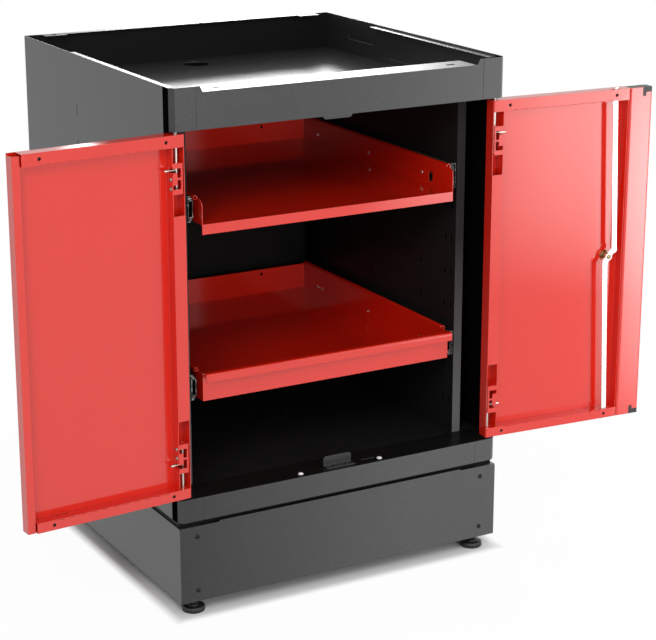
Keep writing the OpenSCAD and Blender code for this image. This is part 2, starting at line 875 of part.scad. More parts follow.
// hinge pin with its radial tail, drawn for the upper corner
module pin() {
    z_tail = z_door_high - bracket_low - tail_drop;
    z_low = z_door_high - bracket_low - bracket_h + 1;
    z_high = z_rail + 7;
    translate([pin_u, pin_v, z_low]) cylinder(r = pin_r, h = z_high - z_low);
    translate([pin_u, pin_v, z_tail]) rotate([0, 90, tail_angle]) cylinder(r = tail_r, h = tail_len);
}

module lower_pin() {
    translate([0, 0, z_open + z_rail]) mirror([0, 0, 1]) pin();
}

module left_upper_pin() {
    color(zinc) on_left_door() pin();
}

module left_lower_pin() {
    color(zinc) on_left_door() lower_pin();
}

module right_upper_pin() {
    color(zinc) on_right_door() pin();
}

module right_lower_pin() {
    color(zinc) on_right_door() lower_pin();
}

handle_sheet = 1.6;
handle_path = rounded([[skin_w, door_sheet], [skin_w, door_t], [right_w, door_t], [right_w, 2],
    [right_w - 11, 0.5]], 4, 6);
cap_u = right_w - 21;
cap_h = 9;
ear_w = 7;
ear_h = 16;
cap_fit = 0.15;

// places for a cap at the lower and at the upper end of the handle
module at_handle_ends() {
    translate([0, 0, z_door_low]) children();
    translate([0, 0, z_door_high]) mirror([0, 0, 1]) children();
}

// full-height trough that the fingers pull on, cut away at the free corners for the caps
module handle_profile() {
    color(door_paint) on_right_door() difference() {
        translate([0, 0, z_door_low]) folded(handle_path, -handle_sheet, z_door_high - z_door_low);
        at_handle_ends() {
            block([cap_u - cap_fit, -1, -1], [right_w + 1, door_t + 1, cap_h + cap_fit]);
            block([cap_u - cap_fit, door_t - 3, -1], [cap_u + ear_w + cap_fit, door_t + 1, ear_h + cap_fit]);
        }
    }
}

// end cap: a plug in the trough, a block on the free corner and an ear set into the inner face
module cap() {
    plug_h = 3;
    plug = [for (i = [0:len(handle_path) - 1]) edge_point(handle_path, i, -handle_sheet - cap_fit)];
    linear_extrude(height = plug_h) polygon(plug);
    linear_extrude(height = cap_h) intersection() {
        polygon(handle_path);
        translate([cap_u, -1]) square([right_w - cap_u + 1, door_t + 2]);
    }
    block([cap_u, door_t - handle_sheet, 1], [cap_u + ear_w, door_t, ear_h]);
}

module handle_caps() {
    color(black_plastic) on_right_door() at_handle_ends() cap();
}

module at_lock() {
    translate([lock_u, 0, z_door_mid]) rotate([-90, 0, 0]) children();
}

spindle_r = 4;

module lock_body() {
    rim_r = 13;
    color(brass) on_right_door() at_lock() difference() {
        union() {
            translate([0, 0, -1.5]) cylinder(r = rim_r, h = 1.5);
            cylinder(r = barrel_r, h = 13);
        }
        translate([0, 0, 2]) cylinder(r = spindle_r + run_fit, h = 20);
    }
}

module lock_nut() {
    nut_r = 10;
    color(brass) on_right_door() at_lock() translate([0, 0, door_sheet]) difference() {
        cylinder(r = nut_r, h = 4, $fn = 6);
        translate([0, 0, -1]) cylinder(r = barrel_r, h = 6);
    }
}

// turning bar with its spindle and the two rod pins
module lock_bar() {
    end_r = 5.5;
    head_r = 4;
    nut_r = 5;
    color(zinc) on_right_door() translate([lock_u, 0, z_door_mid])
        rotate([0, -cam_angle, 0]) rotate([-90, 0, 0]) {
        translate([0, 0, 2.5]) cylinder(r = spindle_r, h = bar_v - 2.5);
        translate([0, 0, bar_v]) cylinder(r = end_r + 1.5, h = bar_t);
        translate([0, 0, bar_v + bar_t]) cylinder(r = nut_r, h = 3, $fn = 6);
        for (s = [-1, 1]) {
            translate([s * cam_r, 0, bar_v]) cylinder(r = end_r, h = bar_t);
            translate([s * cam_r, 0, bar_v]) cylinder(r = rod_pin_r, h = rod_v + rod_t + 2 - bar_v);
            translate([s * cam_r, 0, rod_v + rod_t + 0.5]) cylinder(r = head_r, h = 1.5);
        }
        translate([-cam_r, -end_r, bar_v]) cube([2 * cam_r, 2 * end_r, bar_t]);
    }
}

rod_rise = z_door_high + rod_over - z_door_mid - rod_pin_z;
rod_side = -rod_lean - rod_pin_u;
rod_len = norm([rod_side, rod_rise]);
rod_tilt = atan2(-rod_side, rod_rise);

// flat rod from the bar pin at its origin up to the bevelled tip
module rod() {
    end_r = 5.6;
    tip_w = 3;
    tip_l = 9;
    along_y(rod_v, rod_v + rod_t) difference() {
        union() {
            circle(r = end_r);
            polygon([[-rod_w / 2, 0], [rod_w / 2, 0], [rod_w / 2, rod_len], [rod_w / 2 - tip_w, rod_len],
                [-rod_w / 2, rod_len - tip_l]]);
        }
        circle(r = rod_pin_r + run_fit);
    }
}

module upper_rod() {
    color(zinc) on_right_door() translate([lock_u + rod_pin_u, 0, z_door_mid + rod_pin_z])
        rotate([0, -rod_tilt, 0]) rod();
}

module lower_rod() {
    color(zinc) on_right_door() translate([lock_u - rod_pin_u, 0, z_door_mid - rod_pin_z])
        rotate([0, 180 - rod_tilt, 0]) rod();
}

left_side_panel();
right_side_panel();
back_panel();
top_panel();
bottom_panel();
top_rail();
bottom_rail();
left_inner_wall();
right_inner_wall();
worktop_tabs();
top_stop();
bottom_stop();
stop_screws();
sill_buffers();
pin_bushes();
plinth_frame();
plinth_front();
plinth_screws();
plinth_riser();
foot_plates();
foot_nuts();
foot_front_left();
foot_front_right();
foot_back_left();
foot_back_right();
slide_outer_members();
upper_slide_middles();
lower_slide_middles();
upper_slide_inners();
lower_slide_inners();
upper_tray();
lower_tray();
upper_tray_rivets();
lower_tray_rivets();
left_door_skin();
left_top_channel();
left_low_channel();
left_hinge_channel();
left_upper_bracket();
left_lower_bracket();
left_bracket_screws();
left_upper_pin();
left_lower_pin();
right_door_skin();
right_top_channel();
right_low_channel();
right_hinge_channel();
right_upper_bracket();
right_lower_bracket();
right_bracket_screws();
right_upper_pin();
right_lower_pin();
handle_profile();
handle_caps();
lock_body();
lock_nut();
lock_bar();
upper_rod();
lower_rod();
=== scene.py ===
from math import atan2, cos, hypot, pi, radians, sin

import bmesh
import bpy
from mathutils import Matrix, Vector


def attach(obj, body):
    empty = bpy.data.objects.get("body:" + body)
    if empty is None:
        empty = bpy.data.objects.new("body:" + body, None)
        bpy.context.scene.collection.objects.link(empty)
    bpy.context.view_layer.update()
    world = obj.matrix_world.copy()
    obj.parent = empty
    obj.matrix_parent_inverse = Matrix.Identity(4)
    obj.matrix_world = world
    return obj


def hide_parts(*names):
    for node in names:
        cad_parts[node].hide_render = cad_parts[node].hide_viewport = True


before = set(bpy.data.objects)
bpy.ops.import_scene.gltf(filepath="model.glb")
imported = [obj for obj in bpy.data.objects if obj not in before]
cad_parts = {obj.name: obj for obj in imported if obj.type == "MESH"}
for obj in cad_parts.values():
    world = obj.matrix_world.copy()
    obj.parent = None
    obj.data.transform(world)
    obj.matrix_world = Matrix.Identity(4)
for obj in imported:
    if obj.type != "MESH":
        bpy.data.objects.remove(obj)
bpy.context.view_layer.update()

# Levelling feet: a moulded black pad with a fluted rim, and a spanner hexagon on a blackened M10 stud.
# The pad is moulded round the stud's head. The stud's rolled thread turns in a nut on each corner plate,
# so every foot turns by itself.
metre = 1000
same_point = 0.000002
crease = radians(32)
noise_range = (0.3, 0.7)
first_colour, second_colour, mixed_colour = 6, 7, 2


def add_node(tree, kind, **values):
    made = tree.nodes.new("ShaderNode" + kind)
    for key, value in values.items():
        made.inputs[key.replace("_", " ")].default_value = value
    return made


def connect(tree, *pairs):
    for source, target in pairs:
        tree.links.new(source, target)


def noise(tree, place, scale, detail):
    made = add_node(tree, "TexNoise", Scale=scale, Detail=detail)
    tree.links.new(place, made.inputs["Vector"])
    return made.outputs[0]


def ramp(tree, value, start, end, low=0.0, high=1.0):
    made = add_node(tree, "MapRange", From_Min=start, From_Max=end, To_Min=low, To_Max=high)
    tree.links.new(value, made.inputs["Value"])
    return made.outputs[0]


def two_tones(tree, first, second, share):
    blend = tree.nodes.new("ShaderNodeMix")
    blend.data_type = "RGBA"
    for socket, tone in ((first_colour, first), (second_colour, second)):
        if isinstance(tone, tuple):
            blend.inputs[socket].default_value = (*tone, 1)
        else:
            tree.links.new(tone, blend.inputs[socket])
    tree.links.new(share, blend.inputs[0])
    return blend.outputs[mixed_colour]


def new_finish(name):
    finish = bpy.data.materials.new(name)
    finish.use_nodes = True
    tree = finish.node_tree
    return finish, tree, tree.nodes["Principled BSDF"].inputs, add_node(tree, "TexCoord").outputs["Object"]


def moulded_plastic(name, shade, cloud, rough):
    plastic, tree, shader, place = new_finish(name)
    drift = noise(tree, place, scale=35.0, detail=4.0)
    skin = add_node(tree, "Bump", Strength=0.10, Distance=0.0002)
    connect(
        tree,
        (two_tones(tree, shade, cloud, drift), shader["Base Color"]),
        (ramp(tree, drift, *noise_range, *rough), shader["Roughness"]),
        (add_node(tree, "Bevel", Radius=0.0008).outputs["Normal"], skin.inputs["Normal"]),
        (noise(tree, place, scale=1100.0, detail=3.0), skin.inputs["Height"]),
        (skin.outputs["Normal"], shader["Normal"]),
    )
    return plastic


def plated_metal(name, bright, dull, rough):
    metal, tree, shader, place = new_finish(name)
    shader["Metallic"].default_value = 1
    bloom = noise(tree, place, scale=60.0, detail=5.0)
    drawn = add_node(tree, "Mapping", Scale=(900.0, 900.0, 40.0))
    skin = add_node(tree, "Bump", Strength=0.05, Distance=0.0001)
    connect(
        tree,
        (place, drawn.inputs["Vector"]),
        (two_tones(tree, bright, dull, bloom), shader["Base Color"]),
        (ramp(tree, bloom, *noise_range, *rough), shader["Roughness"]),
        (add_node(tree, "Bevel", Radius=0.0006).outputs["Normal"], skin.inputs["Normal"]),
        (noise(tree, drawn.outputs[0], scale=1.0, detail=3.0), skin.inputs["Height"]),
        (skin.outputs["Normal"], shader["Normal"]),
    )
    return metal


def turned(profile, steps, place=Matrix(), turns=1, pitch=0.0):
    shape = bmesh.new()
    points = [shape.verts.new((radius / metre, 0, height / metre)) for radius, height in profile]
    for start, end in zip(points, points[1:]):
        shape.edges.new((start, end))
    bmesh.ops.spin(shape, geom=shape.verts[:] + shape.edges[:], cent=(0, 0, 0), axis=(0, 0, 1),
                   dvec=(0, 0, pitch / metre / steps), angle=2 * pi * turns, steps=steps * turns,
                   use_merge=pitch == 0)
    bmesh.ops.remove_doubles(shape, verts=shape.verts, dist=same_point)
    bmesh.ops.transform(shape, matrix=place, verts=shape.verts)
    return shape


def cut_hexagon(shape, inner, corner):
    tolerance = 1.01
    side_turn = pi / 3
    for vert in shape.verts:
        radius = hypot(vert.co.x, vert.co.y)
        if inner / metre < radius < corner / metre * tolerance:
            lean = atan2(vert.co.y, vert.co.x) % side_turn - side_turn / 2
            vert.co.xy *= min(1, corner / metre * cos(side_turn / 2) / cos(lean) / radius)


def moved_points(made):
    return [part for part in made["geom"] if isinstance(part, bmesh.types.BMVert)]


def set_piece(name, body, nodes, finish, shapes):
    whole = bmesh.new()
    mesh = bpy.data.meshes.new(name)
    for shape in shapes:
        bmesh.ops.recalc_face_normals(shape, faces=shape.faces)
        shape.to_mesh(mesh)
        shape.free()
        whole.from_mesh(mesh)
    for face in whole.faces:
        face.smooth = True
    whole.to_mesh(mesh)
    whole.free()
    mesh.set_sharp_from_angle(angle=crease)
    mesh.materials.append(finish)
    piece = bpy.data.objects.new(name, mesh)
    bpy.context.scene.collection.objects.link(piece)
    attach(piece, body)
    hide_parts(*nodes)


black_plastic = moulded_plastic("black_plastic", shade=(0.006, 0.0065, 0.0065), cloud=(0.010, 0.011, 0.0105),
                                rough=(0.40, 0.52))
black_oxide = plated_metal("black_oxide", bright=(0.020, 0.020, 0.021), dull=(0.034, 0.034, 0.036),
                           rough=(0.24, 0.36))
zinc = plated_metal("zinc", bright=(0.86, 0.86, 0.87), dull=(0.76, 0.77, 0.79), rough=(0.16, 0.28))
foot_x = 0.291
foot_y = 0.296
pad_steps = 96
pad_profile = ((0, 1.2), (13.6, 1.2), (15, 0), (18, 0), (19.4, 0.6), (20, 2), (20, 8.2), (19.4, 9.6),
               (18, 10.3), (11.5, 10.6), (10.2, 11.1), (9.6, 12.5), (0, 12.5))
flute_from = 0.0192
flute_cut = 0.965
flute_steps = 4
spanner_corner = 8.5
spanner_profile = ((0, 12.0), (spanner_corner, 12.0), (spanner_corner, 17.2), (8.0, 17.8), (0, 17.8))
thread_profile = ((4.15, 17), (4.98, 17.62), (4.98, 17.88), (4.15, 18.5))
thread_pitch = 1.5
thread_turns = 44
tip_profile = ((4.3, 82.5), (4.3, 84.6), (3.5, 85.6), (0, 85.6))
for depth_name, depth in (("front", -1), ("back", 1)):
    for side_name, side in (("left", -1), ("right", 1)):
        corner = f"{depth_name}_{side_name}"
        pad = turned(pad_profile, pad_steps)
        for vert in pad.verts:
            step = round(atan2(vert.co.y, vert.co.x) * pad_steps / 2 / pi)
            if hypot(vert.co.x, vert.co.y) > flute_from and step % flute_steps < flute_steps / 2:
                vert.co.xy *= flute_cut
        spanner = turned(spanner_profile, 36)
        cut_hexagon(spanner, spanner_corner - 1, spanner_corner)
        thread = turned(thread_profile, 12, turns=thread_turns, pitch=thread_pitch)
        tip = turned(tip_profile, 24)
        centre = Matrix.Translation((side * foot_x, depth * foot_y, 0))
        for shape in (pad, spanner, thread, tip):
            bmesh.ops.transform(shape, matrix=centre, verts=shape.verts)
        foot = f"foot_{corner}"
        set_piece(f"pad_{corner}", foot, [foot], black_plastic, [pad])
        set_piece(f"stud_{corner}", foot, [], black_oxide, [spanner, thread, tip])

# Plinth: a frame folded from 1.5 mm steel, a loose front panel, a plate and nut in each corner for the
# feet, and a set-back ring of black rubber under the body. The dark powder coat has a fine orange peel and
# is lighter along the folds, partly a thinner coat and partly a painted highlight; low on the front a
# painted sheen raises its gloss.


def powder_coat(name, shade, cloud, edge, rough, index):
    coat, tree, shader, place = new_finish(name)
    shader["IOR"].default_value = index
    speck = noise(tree, place, scale=240.0, detail=3.0)
    rounded = add_node(tree, "Bevel", Radius=0.0009).outputs["Normal"]
    facing = tree.nodes.new("ShaderNodeVectorMath")
    facing.operation = "DOT_PRODUCT"
    # Lighter tone along the edges: partly coat wear, partly a painted highlight line.
    worn_and_highlit = ramp(tree, facing.outputs["Value"], start=0.99, end=0.80)
    tones = two_tones(tree, shade, cloud, noise(tree, place, scale=2.6, detail=3.0))
    wave = add_node(tree, "Bump", Strength=0.25, Distance=0.0008)
    skin = add_node(tree, "Bump", Strength=0.04, Distance=0.0002)
    connect(
        tree,
        (rounded, facing.inputs[0]),
        (add_node(tree, "NewGeometry").outputs["Normal"], facing.inputs[1]),
        (two_tones(tree, tones, edge, worn_and_highlit), shader["Base Color"]),
        (ramp(tree, speck, *noise_range, *rough), shader["Roughness"]),
        (ramp(tree, speck, *noise_range, low=0.46, high=0.54), shader["Specular IOR Level"]),
        (rounded, wave.inputs["Normal"]),
        (noise(tree, place, scale=5.5, detail=1.0), wave.inputs["Height"]),
        (wave.outputs["Normal"], skin.inputs["Normal"]),
        (noise(tree, place, scale=260.0, detail=1.0), skin.inputs["Height"]),
        (skin.outputs["Normal"], shader["Normal"]),
    )
    return coat


def maths(tree, operation, first, second):
    step = tree.nodes.new("ShaderNodeMath")
    step.operation = operation
    for socket, value in zip(step.inputs, (first, second)):
        if isinstance(value, float):
            socket.default_value = value
        else:
            tree.links.new(value, socket)
    return step.outputs[0]


def axes(tree, source):
    split = tree.nodes.new("ShaderNodeSeparateXYZ")
    tree.links.new(source, split.inputs[0])
    return split.outputs


def way_and_place(tree):
    return (axes(tree, add_node(tree, "NewGeometry").outputs["True Normal"]),
            axes(tree, add_node(tree, "TexCoord").outputs["Object"]))


def paint_over(tree, tone, share):
    colour = tree.nodes["Principled BSDF"].inputs["Base Color"]
    tree.links.new(two_tones(tree, colour.links[0].from_socket, tone, share), colour)


def change_gloss(tree, factor):
    level = tree.nodes["Principled BSDF"].inputs["Specular IOR Level"]
    tree.links.new(maths(tree, "MULTIPLY", level.links[0].from_socket, factor), level)


def finish_nodes(finish, *names):
    for name in names:
        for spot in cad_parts[name].material_slots:
            spot.link = "OBJECT"
            spot.material = finish


faces_forward = (-0.85, -0.95)
below_sill = (0.225, 0.220)
dark_tones = ((0.013, 0.013, 0.0135), (0.019, 0.019, 0.020), (0.05, 0.05, 0.052))
dark_index = 1.56
dark_coat = powder_coat("dark_coat", *dark_tones, rough=(0.30, 0.38), index=dark_index)
tree = dark_coat.node_tree
way, spot = way_and_place(tree)
fronts = ramp(tree, way["Y"], *faces_forward)
low_front = maths(tree, "MULTIPLY", fronts, ramp(tree, spot["Z"], *below_sill))
# Painted sheen: low on the front the gloss rises from left to right, standing in for a lamp's highlight.
painted_sheen = ramp(tree, spot["X"], start=-0.33, end=0.15, low=-0.2, high=0.85)
change_gloss(tree, maths(tree, "ADD", 1.0, maths(tree, "MULTIPLY", low_front, painted_sheen)))
black_rubber = moulded_plastic("black_rubber", shade=(0.003, 0.003, 0.003), cloud=(0.005, 0.005, 0.005),
                               rough=(0.50, 0.60))
black_rubber.node_tree.nodes["Principled BSDF"].inputs["IOR"].default_value = 1.25
finish_nodes(dark_coat, "plinth_frame", "plinth_front", "foot_plates")
finish_nodes(black_rubber, "plinth_riser")
finish_nodes(zinc, "foot_nuts")

# Plinth screws: four black button heads with a hexagon socket, driven through the corners of the front
# panel into the tabs of the frame. They are blackened like the studs.


def facing_way(spot, way):
    turn = Vector(way).to_track_quat("Z", "Y").to_matrix().to_4x4()
    return Matrix.Translation(Vector(spot) / metre) @ turn


def button_screw(radius, height, place):
    socket = radius * 0.42
    dome = ((1, 0), (1, 0.25), (0.93, 0.55), (0.75, 0.85), (0.53, 1))
    hollow = ((socket, height * 0.99), (socket * 0.98, height * 0.35), (0, height * 0.3))
    head = turned((*((radius * out, height * up) for out, up in dome), *hollow), 36)
    cut_hexagon(head, socket * 0.9, socket)
    bmesh.ops.transform(head, matrix=place, verts=head.verts)
    return head


body_front = -320
panel_screw_x = 292
panel_screw_z = (47, 147)
set_piece("plinth_button_screws", "cabinet", ["plinth_screws"], black_oxide,
          [button_screw(4.2, 2.2, facing_way((x, body_front, z), (0, -1, 0)))
           for x in (-panel_screw_x, panel_screw_x) for z in panel_screw_z])

# Plinth shade strip and base shade sheet: a strip of black rubber inside the frame's back wall, just under
# the ring, and a black sheet laid on the ring under the bottom panel. Both are painted shade, dark sheets
# standing in for the shade inside the base, so the slots of the sill and the bottom look dark.
shade_block_edge = 0.0006
for name, centre, size in (
    ("plinth_shade_strip", (0, 0.30915, 0.1634), (0.5696, 0.0183, 0.0048)),
    ("base_shade_sheet", (0, 0.005, 0.1793), (0.57, 0.59, 0.0020)),
):
    shade_block = bmesh.new()
    block = bmesh.ops.create_cube(shade_block, size=1)["verts"]
    bmesh.ops.scale(shade_block, vec=size, verts=block)
    bmesh.ops.translate(shade_block, vec=centre, verts=block)
    bmesh.ops.bevel(shade_block, geom=shade_block.edges[:], offset=shade_block_edge, segments=2, profile=0.5, affect="EDGES",
                    material=-1)
    set_piece(name, "cabinet", [], black_rubber, [shade_block])

# Body: two folded side panels, the top rail, the sill and the sunk top, of 1.5 mm sheet, spot welded and
# coated like the plinth. Shade is painted black, with less gloss, on the recess strips in the front corners,
# on the hidden inside of the side panels and on upward faces below the top, such as the sill's upper side.
painted_shade_black = (0.002, 0.002, 0.002)
faces_along = (0.85, 0.95)
corner_recess = (-0.2895, -0.2905)
under_top = (0.860, 0.858)
body_coat = dark_coat.copy()
body_coat.name = "body_coat"
tree = body_coat.node_tree
way, spot = way_and_place(tree)
sideways = ramp(tree, maths(tree, "ABSOLUTE", way["X"], 0.0), *faces_along)
corner_shade = maths(tree, "MULTIPLY", sideways, ramp(tree, spot["Y"], *corner_recess))
inward = ramp(tree, maths(tree, "MULTIPLY", way["X"], spot["X"]), start=-0.25, end=-0.30)
below = ramp(tree, spot["Z"], *under_top)
upward = ramp(tree, way["Z"], *faces_along, high=0.75)
# Painted shade: corner recess strips, hidden insides and upward faces below the top turn black and less
# glossy.
painted_shade = maths(tree, "MAXIMUM", maths(tree, "MULTIPLY", inward, below), corner_shade)
painted_shade = maths(tree, "MAXIMUM", painted_shade, maths(tree, "MULTIPLY", upward, below))
paint_over(tree, painted_shade_black, painted_shade)
change_gloss(tree, maths(tree, "SUBTRACT", 1.0, painted_shade))
top_coat = powder_coat("top_coat", *dark_tones, rough=(0.27, 0.34), index=dark_index)
finish_nodes(body_coat, "left_side_panel", "right_side_panel", "top_rail", "bottom_rail")
finish_nodes(top_coat, "top_panel")

# Inner walls, back and bottom: slotted sheets beside the trays carry the slides and hook into the side
# panels' front folds. The back, its worktop tabs and the bottom have the same black, duller coat. The walls'
# front bands get painted light, growing to a painted highlight towards the foot.
band_line = (-0.250, -0.254)
lit_band_tones = ((0.022, 0.022, 0.022), (0.12, 0.12, 0.12))
inner_coat = powder_coat("inner_coat", (0.009, 0.009, 0.0092), (0.012, 0.012, 0.0123), (0.018, 0.018, 0.018),
                         rough=(0.30, 0.38), index=1.15)
wall_coat = inner_coat.copy()
wall_coat.name = "wall_coat"
tree = wall_coat.node_tree
way, spot = way_and_place(tree)
# Painted light on the walls' front bands, brightest towards the foot as a painted highlight.
fronts = ramp(tree, way["Y"], *faces_forward)
lit_front_band = maths(tree, "MULTIPLY", fronts, ramp(tree, spot["Y"], *band_line))
foot_highlight = ramp(tree, spot["Z"], start=0.60, end=0.24)
paint_over(tree, two_tones(tree, *lit_band_tones, foot_highlight), lit_front_band)
finish_nodes(wall_coat, "left_inner_wall", "right_inner_wall")
finish_nodes(inner_coat, "back_panel", "bottom_panel", "worktop_tabs")

# Stops, buffers and bushes: two bent clips that the doors close against, one of them screwed to the sill.
# The buffers are white domes of soft plastic, pressed into the sill. The bushes are plastic sleeves for
# the pins.
stop_screws_at = ((-12, -302, 219.5), (12, -302, 219.5))
white_plastic = moulded_plastic("white_plastic", shade=(0.74, 0.74, 0.72), cloud=(0.82, 0.82, 0.80),
                                rough=(0.35, 0.45))
finish_nodes(dark_coat, "top_stop", "bottom_stop")
finish_nodes(white_plastic, "sill_buffers")
finish_nodes(black_plastic, "pin_bushes")
set_piece("sill_button_screws", "cabinet", ["stop_screws"], black_oxide,
          [button_screw(3, 1.2, facing_way(spot, (0, 0, 1))) for spot in stop_screws_at])

# Slides: rolled steel members that run in each other on balls. The outer ones are fixed to the inner walls
# and the inner ones to the trays. The steel is blackened, with bare chips on its cut front ends, and the
# ball cages and balls are bright.
bare_steel = (0.50, 0.50, 0.48)
black_steel = powder_coat("black_steel", (0.006, 0.006, 0.0063), (0.010, 0.010, 0.0105), (0.30, 0.30, 0.29),
                          rough=(0.24, 0.34), index=1.6)
tree = black_steel.node_tree
way = axes(tree, add_node(tree, "NewGeometry").outputs["True Normal"])
chips = noise(tree, add_node(tree, "TexCoord").outputs["Object"], scale=130.0, detail=1.0)
fronts = ramp(tree, way["Y"], *faces_forward)
bare = maths(tree, "MULTIPLY", fronts, ramp(tree, chips, start=0.46, end=0.60))
paint_over(tree, bare_steel, bare)
tree.links.new(bare, tree.nodes["Principled BSDF"].inputs["Metallic"])
finish_nodes(black_steel, "slide_outer_members", "upper_slide_inners", "lower_slide_inners")

channel_path = ((-258.0, 19.0), (-263.7, 19.0), (-264.9, 18.6), (-265.3, 17.4),
                (-265.3, -17.4), (-264.9, -18.6), (-263.7, -19.0), (-258.0, -19.0))
channel_start = -0.252
channel_length = 0.528
channel_wall = 0.0012


def slide_channel(side, height):
    shape = bmesh.new()
    points = [shape.verts.new((x / metre, channel_start, (z + height) / metre)) for x, z in channel_path]
    edges = [shape.edges.new(pair) for pair in zip(points, points[1:])]
    run = bmesh.ops.extrude_edge_only(shape, edges=edges)
    bmesh.ops.translate(shape, vec=(0, channel_length, 0), verts=moved_points(run))
    bmesh.ops.recalc_face_normals(shape, faces=shape.faces)
    inward = max(shape.faces, key=lambda face: face.calc_area()).normal.x
    bmesh.ops.solidify(shape, geom=shape.faces[:], thickness=-channel_wall if inward > 0 else channel_wall)
    bmesh.ops.scale(shape, vec=(-side, 1, 1), verts=shape.verts)
    return shape


ball_lines = ((-263.0, 19.9, 1.1), (-263.0, -19.9, 1.1), (-260.5, 16.65, 1.35), (-260.5, -16.65, 1.35))
ball_count = 22
ball_pitch = 0.0238
cage_middle = 8
cage_size = (0.0036, 0.519, 0.0005)
cage_edge = 0.0001


def ball_rows(side, height):
    balls = bmesh.new()
    cages = bmesh.new()
    for x, z, radius in ball_lines:
        middle = Vector((-side * x, cage_middle, height + z)) / metre
        for step in range(ball_count):
            along = Vector((0, (step - (ball_count - 1) / 2) * ball_pitch, 0))
            bmesh.ops.create_uvsphere(balls, u_segments=8, v_segments=6, radius=radius / metre,
                                      matrix=Matrix.Translation(middle + along))
        strip = bmesh.ops.create_cube(cages, size=1)["verts"]
        bmesh.ops.scale(cages, vec=cage_size, verts=strip)
        bmesh.ops.translate(cages, vec=middle, verts=strip)
    bmesh.ops.bevel(cages, geom=cages.edges[:], offset=cage_edge, segments=1, profile=0.5, affect="EDGES",
                    material=-1)
    return [balls, cages]


for level, height in (("upper", 709.5), ("lower", 393.5)):
    set_piece(f"{level}_slide_channels", f"{level}_slide", [f"{level}_slide_middles"], black_steel,
              [slide_channel(side, height) for side in (-1, 1)])
    set_piece(f"{level}_slide_balls", f"{level}_slide", [f"{level}_slide_middles"], zinc,
              ball_rows(-1, height) + ball_rows(1, height))

# Trays: two pull-out trays of 1.2 mm sheet with a glossy red powder coat. Their side edges are rolled
# outward, the upper tray's front is folded down and the lower tray's front is raised and rolled over.
red_coat = powder_coat("red_coat", (0.58, 0.012, 0.003), (0.64, 0.014, 0.0035), (0.72, 0.030, 0.018),
                       rough=(0.09, 0.13), index=1.74)
finish_nodes(red_coat, "upper_tray", "lower_tray")

# Tray rivets: zinc-plated blind rivets, set from inside the tray through its side and the slide. Each
# keeps the broken end of its mandrel in the middle of the head.
rivet_profile = ((3.5, 0), (3.45, 0.35), (2.9, 0.95), (2.0, 1.3), (1.15, 1.4), (1.05, 1.05), (0.6, 1.05),
                 (0.45, 1.25), (0, 1.25))
tray_side_x = 248.8
rivets_y = (-170, 20, 202, 220)
for level, height in (("upper", 702), ("lower", 386)):
    set_piece(f"{level}_blind_rivets", f"{level}_tray", [f"{level}_tray_rivets"], zinc,
              [turned(rivet_profile, 24, facing_way((side * tray_side_x, y, height), (-side, 0, 0)))
               for side in (-1, 1) for y in rivets_y])

# Doors: a folded skin of 1.2 mm sheet, box edges welded in at the top and bottom, a channel on the hinge
# side and two slotted hinge brackets. All of it has the red coat of the trays.
door_sheets = ("door_skin", "top_channel", "low_channel", "hinge_channel", "upper_bracket", "lower_bracket")
for side in ("left", "right"):
    finish_nodes(red_coat, *[f"{side}_{sheet}" for sheet in door_sheets])

# Hole shade discs: black rubber discs set into the two holes of each box edge, a little below the sheet.
# They are painted shade, standing in for the shade inside the holes.
hinge_at = (0.312, -0.3085)
hinge_in_door = (0.009, 0.0115, 0)
open_lean = radians(4)
right_door = Matrix(((cos(open_lean), -sin(open_lean), 0, hinge_at[0]),
                     (-sin(open_lean), -cos(open_lean), 0, hinge_at[1]),
                     (0, 0, 1, 0), (0, 0, 0, 1))) @ Matrix.Translation(-Vector(hinge_in_door))
left_door = Matrix.Scale(-1, 4, (1, 0, 0)) @ right_door
doors = (("left", left_door), ("right", right_door))
hole_shade_profile = ((0, 21.8), (2.6, 21.8), (2.95, 22.1), (2.95, 23.1), (2.5, 23.3), (0, 23.0))
hole_shade_at = [(u, 0, z) for u in (33.5, 258) for z in (230.75, 843.5)]
for side, door in doors:
    set_piece(f"{side}_hole_shade_discs", f"{side}_door", [], black_rubber,
              [turned(hole_shade_profile, 24, door @ facing_way(spot, (0, 1, 0))) for spot in hole_shade_at])

# Bracket screws and hinge pins: zinc-plated button screws fix each bracket to the hinge channel. A 6 mm pin
# with a pressed-in tail stands in the bracket and in the bush of the rail or sill, and is freed by its tail.
pin_radius = 3
pin_chamfer = 0.7
tail_profile = ((0, 0), (2, 0), (2, 22), (1.75, 22.7), (1.1, 23), (0, 23))


def hinge_pin(door, low, high, tail_height):
    end_radius = pin_radius - pin_chamfer
    lower_end = ((0, low), (end_radius, low), (pin_radius, low + pin_chamfer))
    upper_end = ((pin_radius, high - pin_chamfer), (end_radius, high), (0, high))
    pin = turned((*lower_end, *upper_end), 32, door @ Matrix.Translation(hinge_in_door))
    root = Vector(hinge_in_door) * metre + Vector((0, 0, tail_height))
    out = Vector((cos(open_lean), sin(open_lean), 0))
    return [pin, turned(tail_profile, 24, door @ facing_way(root, out))]


bracket_screws_at = [(22.5, 17, z) for z in (764, 780, 312, 296)]
passivated = plated_metal("passivated", bright=(0.66, 0.64, 0.58), dull=(0.54, 0.53, 0.48),
                          rough=(0.20, 0.30))
dull_zinc = plated_metal("dull_zinc", bright=(0.34, 0.33, 0.28), dull=(0.24, 0.23, 0.19),
                         rough=(0.26, 0.38))
for side, door in doors:
    set_piece(f"{side}_button_screws", f"{side}_door", [f"{side}_bracket_screws"], dull_zinc,
              [button_screw(3.4, 2.2, door @ facing_way(spot, (1, 0, 0))) for spot in bracket_screws_at])
    for level, low, high, tail_height in (("upper", 756, 865, 794), ("lower", 211, 320, 282)):
        pin = f"{side}_{level}_pin"
        set_piece(f"{side}_{level}_hinge_pin", pin, [pin], passivated,
                  hinge_pin(door, low, high, tail_height))

# Pull handle: a full-height trough folded from 1.6 mm sheet on the right door's free edge, in the red coat.
# A black plastic cap with an ear closes each end.
finish_nodes(red_coat, "handle_profile")
finish_nodes(black_plastic, "handle_caps")

